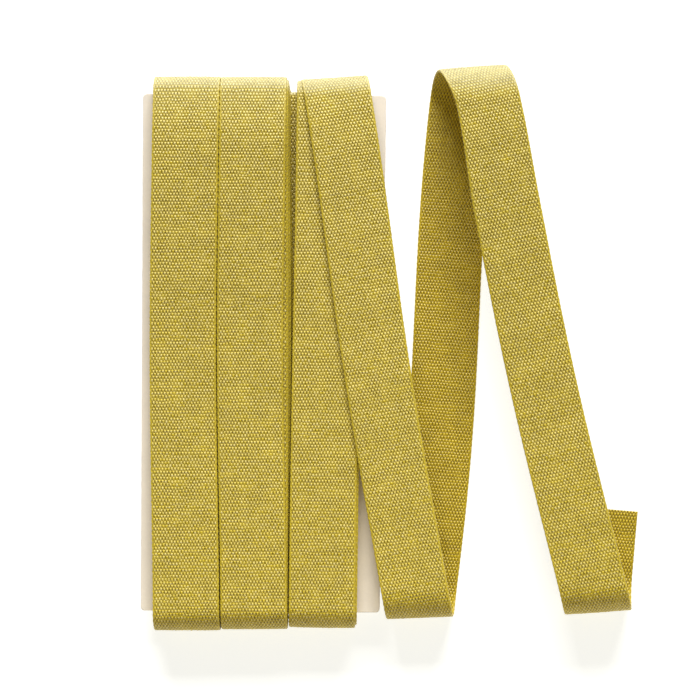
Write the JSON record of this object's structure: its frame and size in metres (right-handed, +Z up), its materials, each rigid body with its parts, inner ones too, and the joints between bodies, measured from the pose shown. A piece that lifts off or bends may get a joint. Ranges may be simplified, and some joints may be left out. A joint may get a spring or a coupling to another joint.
{
  "type": "roll of cotton ribbon on a winding card",
  "caption": "Flat woven cotton ribbon wound in columns on a card, its last turns spread out beside it as a loose, open coil lying on the table.",
  "frame": {"origin": "middle of the bounding box at the surface that the roll lies on", "axes": "+Y along the card towards the end where the loose ribbon turns over the card, +X from the roll towards the loose coil, +Z up"},
  "size_m": [0.1142, 0.1288, 0.0149],
  "materials": {
    "ribbon_cotton": "matt mustard-yellow cotton in a plain warp-faced weave, fine cross rows of thread bumps and a smooth selvedge",
    "card_board": "uncoated cream paperboard, matt, with cut edges"
  },
  "bodies": {
    "root": {"winding_card": "card_board", "wound_roll": "ribbon_cotton", "loose_end": "ribbon_cotton"}
  },
  "joints": []
}
